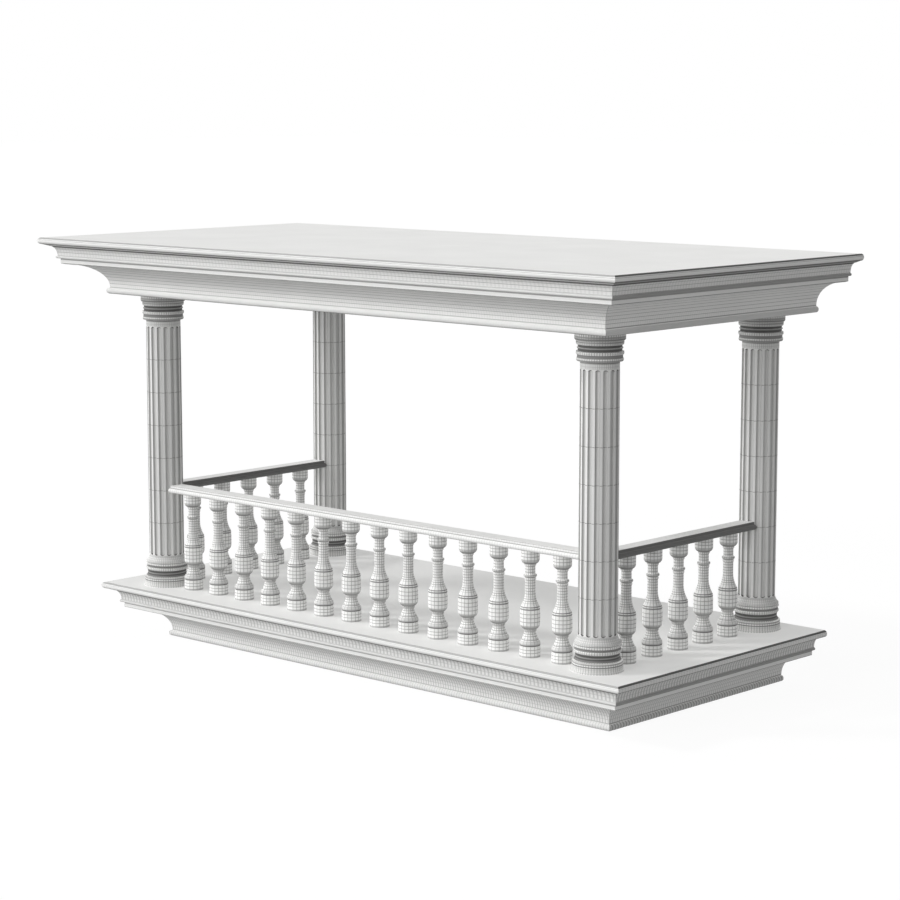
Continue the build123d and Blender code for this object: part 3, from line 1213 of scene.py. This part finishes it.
@dataclass
class Colonnade:
    """The four fluted columns and the mortar joints between their drums.

    Attributes:
        stone: Colour of the stone where no line or painted shade lies.
        flutes: How many flutes a shaft has.
        flute_radius: Radius of a flute's hollow.
        flute_depth: How deep a flute is cut.
        foot_radius: Radius of the shaft over its flare.
        head_radius: Radius of the shaft at its head.
        straight_share: Share of the shaft that stands upright before it tapers.
        flute_foot: Room under the flutes on a shaft.
        flute_head: Room over them.
        flute_rise: Rise of a flute's domed end.
        joints: Heights of the drum joints over the deck.
        joint_height: How high a mortar joint is.
        joint_proud: How far its mortar stands out of the stone.
        joint_key: How far its mortar reaches into the stone.
        joint_face: Share of its height that stands fully proud.
        mortar_grey: Colour of the mortar.
        steps_per_flute: How many points a joint has from flute to flute.
        uprights: How many upright lines stand round a column.
        uprights_stop: Height over the deck at which the shaft's own uprights stop.
        uprights_restart: Height at which they start again over the flutes.
        base_bands: The stretches of a base's profile, from the deck up.
        capital_bands: The stretches of a capital's profile, from its foot up.
        shaft_bands: The stretches of the shaft's flare, from the deck up.
        shaft_creases: Its separate dark rings.
    """

    stone: Colour = (0.76, 0.76, 0.75)
    flutes: int = 16
    flute_radius: float = 0.019
    flute_depth: float = 0.018
    foot_radius: float = 0.156
    head_radius: float = 0.154
    straight_share: float = 1 / 3
    flute_foot: float = 0.067
    flute_head: float = 0.061
    flute_rise: float = 0.009
    joints: tuple[float, ...] = (0.583, 0.881, 1.178, 1.475, 1.772, 2.070)
    joint_height: float = 0.005
    joint_proud: float = 0.0006
    joint_key: float = 0.0015
    joint_face: float = 0.6
    mortar_grey: Colour = (0.24, 0.24, 0.235)
    steps_per_flute: int = 20
    uprights: int = 56
    uprights_stop: float = 0.276
    uprights_restart: float = 2.376
    # Where a band darkens its stretch, that is painted shade in the base's hollows and under its
    # rings.
    base_bands: tuple[Band, ...] = (
        Band(0.004, 0.013, painted_shade=0.22),
        Band(0.014, 0.035, 0.0100, painted_shade=0.06),
        Band(0.035, 0.050, 0.0075, painted_shade=0.15),
        Band(0.051, 0.060, painted_shade=0.74),
        Band(0.069, 0.077, painted_shade=0.58),
        Band(0.077, 0.085, painted_shade=0.42),
        Band(0.085, 0.095, painted_shade=0.14),
        Band(0.092, 0.105, painted_shade=0.78),
        Band(0.105, 0.117, painted_shade=0.92),
        Band(0.117, 0.127, painted_shade=0.66),
        Band(0.127, 0.143, painted_shade=0.92),
        Band(0.143, 0.149, painted_shade=0.74),
        Band(0.150, 0.173, 0.0115, painted_shade=0.05),
        Band(0.174, 0.193, painted_shade=0.74),
        Band(0.194, 0.209, 0.0150, painted_shade=0.04),
        Band(0.210, 0.218, painted_shade=0.62),
    )
    # Where a band darkens its stretch, that is painted shade in the capital's grooves and under its
    # rings.
    capital_bands: tuple[Band, ...] = (
        Band(0.000, 0.007, painted_shade=0.52),
        Band(0.007, 0.013, painted_shade=0.62),
        Band(0.013, 0.025, painted_shade=0.04),
        Band(0.025, 0.052, 0.0085, painted_shade=0.72),
        Band(0.051, 0.073, 0.0120),
        Band(0.074, 0.098, painted_shade=0.92),
        Band(0.098, 0.107, painted_shade=0.66),
        Band(0.107, 0.128, painted_shade=0.92),
        Band(0.128, 0.145, painted_shade=0.26),
        Band(0.145, 0.153, painted_shade=0.66),
        Band(0.153, 0.166, painted_shade=0.34),
        Band(0.166, 0.177, painted_shade=0.72),
        Band(0.177, 0.184, painted_shade=0.36),
        Band(0.184, 0.196, painted_shade=0.52),
        Band(0.211, 0.214, painted_shade=0.18),
    )
    # Where a band darkens its stretch, that is painted shade at the flare, near the flute ends and
    # under the capital.
    shaft_bands: tuple[Band, ...] = (
        Band(0.222, 0.268, 0.0153, painted_shade=0.14),
        Band(0.268, 0.286, 0.0090, painted_shade=0.28),
        Band(2.370, 2.410, 0.0200, painted_shade=0.14),
        Band(2.412, 2.425, painted_shade=0.66),
    )
    shaft_creases: tuple[Crease, ...] = (Crease(0.230, 0.004, 0.4),)

    def axes(self, pen: ShadeWriter) -> tuple[Socket, Socket]:
        """Measures a point from the nearest column's axis.

        Args:
            pen: The writer of the stone's nodes.

        Returns:
            The distances along x and y.
        """
        near = middle(f"column_shaft_{Corner.FRONT_RIGHT.value}")
        far = middle(f"column_shaft_{Corner.BACK_LEFT.value}")
        centre, reach = (near + far) / 2, (near - far) / 2
        x, y, _ = pen.place()
        off_x = pen.sum("ABSOLUTE", pen.sum("SUBTRACT", x, centre.x))
        off_y = pen.sum("ABSOLUTE", pen.sum("SUBTRACT", y, centre.y))
        return pen.sum("SUBTRACT", off_x, abs(reach.x)), pen.sum("SUBTRACT", off_y, abs(reach.y))

    def finish(self, part: str, *toolings: TurnedTooling | FluteTooling) -> bpy.types.Material:
        """Makes the stone of one part of the columns.

        Args:
            part: Which part it is.
            *toolings: Its lines and soiling.

        Returns:
            The material.
        """
        finish = LimestoneFinish(f"column_{part}_limestone", stone=self.stone)
        material, pen = finish.open()
        axes = self.axes(pen)
        finish.close(pen, pen.deepest([tooling.marks(pen, *axes) for tooling in toolings]))
        return material

    def fluting(self) -> FluteTooling:
        """Places the tooling of the flutes on the shafts.

        Returns:
            The flutes' tooling.
        """
        low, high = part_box(f"column_shaft_{Corner.FRONT_LEFT.value}")
        foot, head = low.z + self.flute_foot, high.z - self.flute_head
        return FluteTooling(
            low=foot,
            high=head,
            flutes=self.flutes,
            half_width=self.flute_radius,
            rise=self.flute_rise,
        )

    def turning(self, level: float, bands: tuple[Band, ...]) -> TurnedTooling:
        """Places the tooling of a base or a capital.

        Args:
            level: Height that its bands are measured from.
            bands: The stretches of its profile.

        Returns:
            Its tooling.
        """
        return TurnedTooling(
            level=level,
            bands=bands,
            uprights=self.uprights,
            upright_width=0.0050,
            upright_tone=0.68,
            ring_width=0.003,
            ring_tone=0.4,
        )

    def shaft_turning(self, level: float) -> TurnedTooling:
        """Places the tooling of a shaft's flare and plain neck.

        Args:
            level: Height that its bands are measured from.

        Returns:
            Its tooling.
        """
        return TurnedTooling(
            level=level,
            bands=self.shaft_bands,
            creases=self.shaft_creases,
            uprights=self.uprights,
            upright_reach=self.uprights_stop,
            upright_restart=self.uprights_restart,
            upright_width=0.0046,
            upright_tone=0.5,
        )

    def dress(self) -> None:
        """Puts the stone on every base, shaft and capital."""
        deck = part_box(f"column_base_{Corner.FRONT_LEFT.value}")[0].z
        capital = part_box(f"column_capital_{Corner.FRONT_LEFT.value}")[0].z
        stones = {
            "base": (self.turning(deck, self.base_bands),),
            "shaft": (self.shaft_turning(deck), self.fluting()),
            "capital": (self.turning(capital, self.capital_bands),),
        }
        for part, toolings in stones.items():
            material = self.finish(part, *toolings)
            for corner in Corner:
                dress(f"column_{part}_{corner.value}", material)
            LOG.info("column %s: %d dressed", part, len(Corner))

    def section(self, low: float, high: float, level: float) -> list[Vector]:
        """Draws the fluted outline of the shaft at one level.

        Args:
            low: Height of the shaft's foot.
            high: Height of its head.
            level: Height of the outline, over the same ground.

        Returns:
            The outline's points round the axis.
        """
        taper_start = low + self.straight_share * (high - low)
        taper = max(0.0, (level - taper_start) / (high - taper_start))
        radius = self.foot_radius + (self.head_radius - self.foot_radius) * taper
        run_low = low + self.flute_foot
        run_high = high - self.flute_head
        lean = (level - run_low) / (run_high - run_low)
        inset = self.flute_radius - self.flute_depth
        hollow = self.foot_radius + (self.head_radius - self.foot_radius) * lean + inset
        pitch = 2 * math.pi / self.flutes
        count = self.flutes * self.steps_per_flute
        points = []
        for step in range(count):
            turn = 2 * math.pi * step / count
            off = (turn % pitch) - pitch / 2
            reach = self.flute_radius**2 - (hollow * math.sin(off)) ** 2
            inner = hollow * math.cos(off) - math.sqrt(reach) if reach > 0 else radius
            out = min(radius, inner)
            points.append(Vector((out * math.cos(turn), out * math.sin(turn), 0.0)))
        return points

    def mortar(self) -> bpy.types.Material:
        """Makes the mortar of the drum joints.

        Returns:
            The material.
        """
        finish = LimestoneFinish("joint_mortar", self.mortar_grey, mottling=0.12, grain=0.2)
        material, pen = finish.open()
        sand = pen.noise(scale=60.0, detail=2.0)
        finish.close(pen, pen.ramp(sand, low=0.45, high=CLOUD_HIGH, start=0.0, end=0.2))
        return material

    @staticmethod
    def ring(axis: Vector, outline: list[Vector], out: float, height: float) -> list[Point]:
        """Draws one edge of a mortar joint round a shaft.

        Args:
            axis: The shaft's axis.
            outline: The shaft's outline round it.
            out: How far the edge stands out of the stone.
            height: Its height.

        Returns:
            Its points.
        """
        points = []
        for point in outline:
            grown = 1 + out / point.length
            points.append((axis.x + point.x * grown, axis.y + point.y * grown, height))
        return points

    def build_joints(self, corner: Corner, mortar: bpy.types.Material) -> bpy.types.Object:
        """Builds the mortar joints of one column as thin rings that follow its flutes.

        Args:
            corner: Which column it is.
            mortar: The joints' material.

        Returns:
            The new piece.
        """
        shaft = f"column_shaft_{corner.value}"
        low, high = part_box(shaft)
        axis = middle(shaft)
        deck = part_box(f"column_base_{corner.value}")[0].z
        half = self.joint_height / 2
        edges = (
            (-self.joint_key, -half),
            (self.joint_proud, -half * self.joint_face),
            (self.joint_proud, half * self.joint_face),
            (-self.joint_key, half),
        )
        shape = bmesh.new()
        for joint in self.joints:
            level = deck + joint
            outline = self.section(low.z, high.z, level)
            rings = []
            for out, lift in edges:
                points = self.ring(axis, outline, out, level + lift)
                rings.append([shape.verts.new(point) for point in points])
            for below, above in zip(rings, rings[1:]):
                for i in range(len(outline)):
                    j = (i + 1) % len(outline)
                    shape.faces.new((below[i], below[j], above[j], above[i]))
        mesh = bpy.data.meshes.new(f"drum_joints_{corner.value}")
        shape.normal_update()
        shape.to_mesh(mesh)
        shape.free()
        mesh.materials.append(mortar)
        for face in mesh.polygons:
            face.use_smooth = True
        piece = place_new(mesh.name, mesh)
        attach(piece, BODY)
        LOG.info("%s: %d joints", piece.name, len(self.joints))
        return piece

    def build(self) -> list[bpy.types.Object]:
        """Builds the mortar joints of every column."""
        mortar = self.mortar()
        return [self.build_joints(corner, mortar) for corner in Corner]


@dataclass(frozen=True)
class PaleFloor:
    """A wide pale floor that looks white and keeps a faint shadow.

    Attributes:
        half_width: Half the width of the floor.
        sink: How far it lies under the ground.
        glow: Soft light that it gives the object everywhere.
        bounce: How much of the light that falls on it it gives back as well.
        white: Strength at which it looks white.
        shadow_share: How much of its look follows the light that falls on it.
    """

    half_width: float = 150.0
    sink: float = 0.001
    glow: float = 0.30
    bounce: float = 0.06
    white: float = 1.012
    shadow_share: float = 0.14

    def build(self) -> bpy.types.Object:
        """Builds the floor and marks it as no part of the object.

        Returns:
            The floor.
        """
        mesh = bpy.data.meshes.new("pale_floor")
        w = self.half_width
        mesh.from_pydata([(-w, -w, 0), (w, -w, 0), (w, w, 0), (-w, w, 0)], [], [(0, 1, 2, 3)])
        floor = place_new("pale_floor", mesh)
        floor.location.z = -self.sink
        mesh.materials.append(self.finish())
        floor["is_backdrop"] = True
        return floor

    def finish(self) -> bpy.types.Material:
        """Makes the floor's material.

        Returns:
            The material.
        """
        material = bpy.data.materials.new("pale_floor")
        pen = blank(material)
        white = pen.grey("ShaderNodeEmission", strength=self.white)
        shadow = pen.grey("ShaderNodeBsdfDiffuse")
        look = pen.join("ShaderNodeMixShader", self.shadow_share, white, shadow)
        bounce = pen.grey("ShaderNodeBsdfDiffuse", self.bounce)
        glow = pen.grey("ShaderNodeEmission", strength=self.glow)
        given = pen.join("ShaderNodeAddShader", bounce, glow)
        mix = pen.join("ShaderNodeMixShader", pen.seen(), given, look)
        pen.feed(pen.add("ShaderNodeOutputMaterial").inputs["Surface"], mix)
        return material


@dataclass(frozen=True)
class SoftLamp:
    """One soft lamp far from the object.

    Attributes:
        name: The lamp's name.
        turn: Turn from straight in front towards the left, in degrees.
        height: Height over the horizon, in degrees.
        spread: Width as seen from the object, in degrees.
        level: Share of a face's full brightness that it gives where it shines straight on.
        shadow: Whether it casts shadows.
        away: How far off it is set down, in metres.
    """

    name: str
    turn: float
    height: float
    spread: float
    level: float
    shadow: bool = True
    away: float = 10.0

    def build(self) -> bpy.types.Object:
        """Builds the lamp.

        Returns:
            The lamp.
        """
        lamp = bpy.data.lights.new(self.name, "SUN")
        lamp.energy = self.level * math.pi
        lamp.angle = math.radians(self.spread)
        lamp.use_shadow = self.shadow
        turn, height = math.radians(self.turn), math.radians(self.height)
        towards = Vector((
            -math.sin(turn) * math.cos(height),
            -math.cos(turn) * math.cos(height),
            math.sin(height),
        ))
        piece = place_new(self.name, lamp)
        aim(piece, towards, "Z")
        piece.location = towards * self.away
        LOG.info("%s: %.2f", self.name, self.level)
        return piece


@dataclass(frozen=True)
class StudioLight:
    """A key light from the left, softer lights round the object and an even pale surround.

    Attributes:
        lamps: The lamps.
        surround: Strength of the light from all round.
    """

    lamps: tuple[SoftLamp, ...] = (
        SoftLamp("key_light", turn=47, height=41, spread=9, level=0.265),
        SoftLamp("soft_key_light", turn=47, height=41, spread=9, level=0.41, shadow=False),
        SoftLamp("fill_light", turn=0, height=13, spread=40, level=0.455),
        SoftLamp("left_light", turn=80, height=15, spread=40, level=0.26, shadow=False),
        SoftLamp("right_light", turn=-90, height=5, spread=40, level=0.07, shadow=False),
        SoftLamp("back_light", turn=180, height=10, spread=40, level=0.185, shadow=False),
    )
    surround: float = 0.32

    def build(self) -> None:
        """Builds the lamps and the world."""
        for lamp in self.lamps:
            lamp.build()
        world = bpy.data.worlds.new("studio")
        bpy.context.scene.world = world
        pen = blank(world)
        strength = pen.ramp(pen.seen(), 0.0, 1.0, self.surround, 1.0)
        sky = pen.grey("ShaderNodeBackground", strength=strength)
        pen.feed(pen.add("ShaderNodeOutputWorld").inputs["Surface"], sky)
        LOG.info("surround: %.2f", self.surround)


@dataclass(frozen=True)
class Viewpoint:
    """The camera, placed round the middle of the object's box.

    Attributes:
        aside: How far it stands to the right of the middle of the box.
        before: How far it stands in front of it.
        rise: Height over the middle of the box.
        heading: Turn of its view from straight ahead towards the left, in radians.
        dip: How far its view dips under the horizon, in radians.
        lens: Focal length in millimetres.
        sensor: Width of the sensor in millimetres.
        sight: How far off it still sees things.
    """

    aside: float = 14.925
    before: float = 15.935
    rise: float = 3.234
    heading: float = 0.745
    dip: float = 0.144
    lens: float = 102.256
    sensor: float = 36.0
    sight: float = 400.0

    def build(self, low: Vector, high: Vector) -> bpy.types.Object:
        """Builds the camera and makes it the scene's own.

        Args:
            low: Lowest corner of the object's box.
            high: Highest corner of the object's box.

        Returns:
            The camera.
        """
        centre = (low + high) / 2
        data = bpy.data.cameras.new("viewpoint")
        data.lens = self.lens
        data.sensor_width = self.sensor
        data.clip_end = self.sight
        camera = place_new("viewpoint", data)
        camera.location = centre + Vector((self.aside, -self.before, self.rise))
        ahead = Vector((
            -math.sin(self.heading) * math.cos(self.dip),
            math.cos(self.heading) * math.cos(self.dip),
            -math.sin(self.dip),
        ))
        aim(camera, ahead, "-Z")
        bpy.context.scene.camera = camera
        return camera


def main() -> None:
    """Builds and dresses the whole balcony, its floor, light and camera."""
    logging.basicConfig(level=logging.INFO, format="%(name)s: %(message)s")
    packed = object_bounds()
    for slab in (Slab("deck"), Slab("roof", cross_tone=0.10, stroke_tone=0.10, along_tone=0.68)):
        slab.dress()
    colonnade = Colonnade()
    colonnade.dress()
    colonnade.build()
    for row in Row:
        BalusterRow(row).dress()
        Handrail(row).dress()
    PaleFloor().build()
    StudioLight().build()
    Viewpoint().build(*packed)
    bpy.context.scene.view_settings.view_transform = "Standard"


if __name__ == "__main__":
    main()
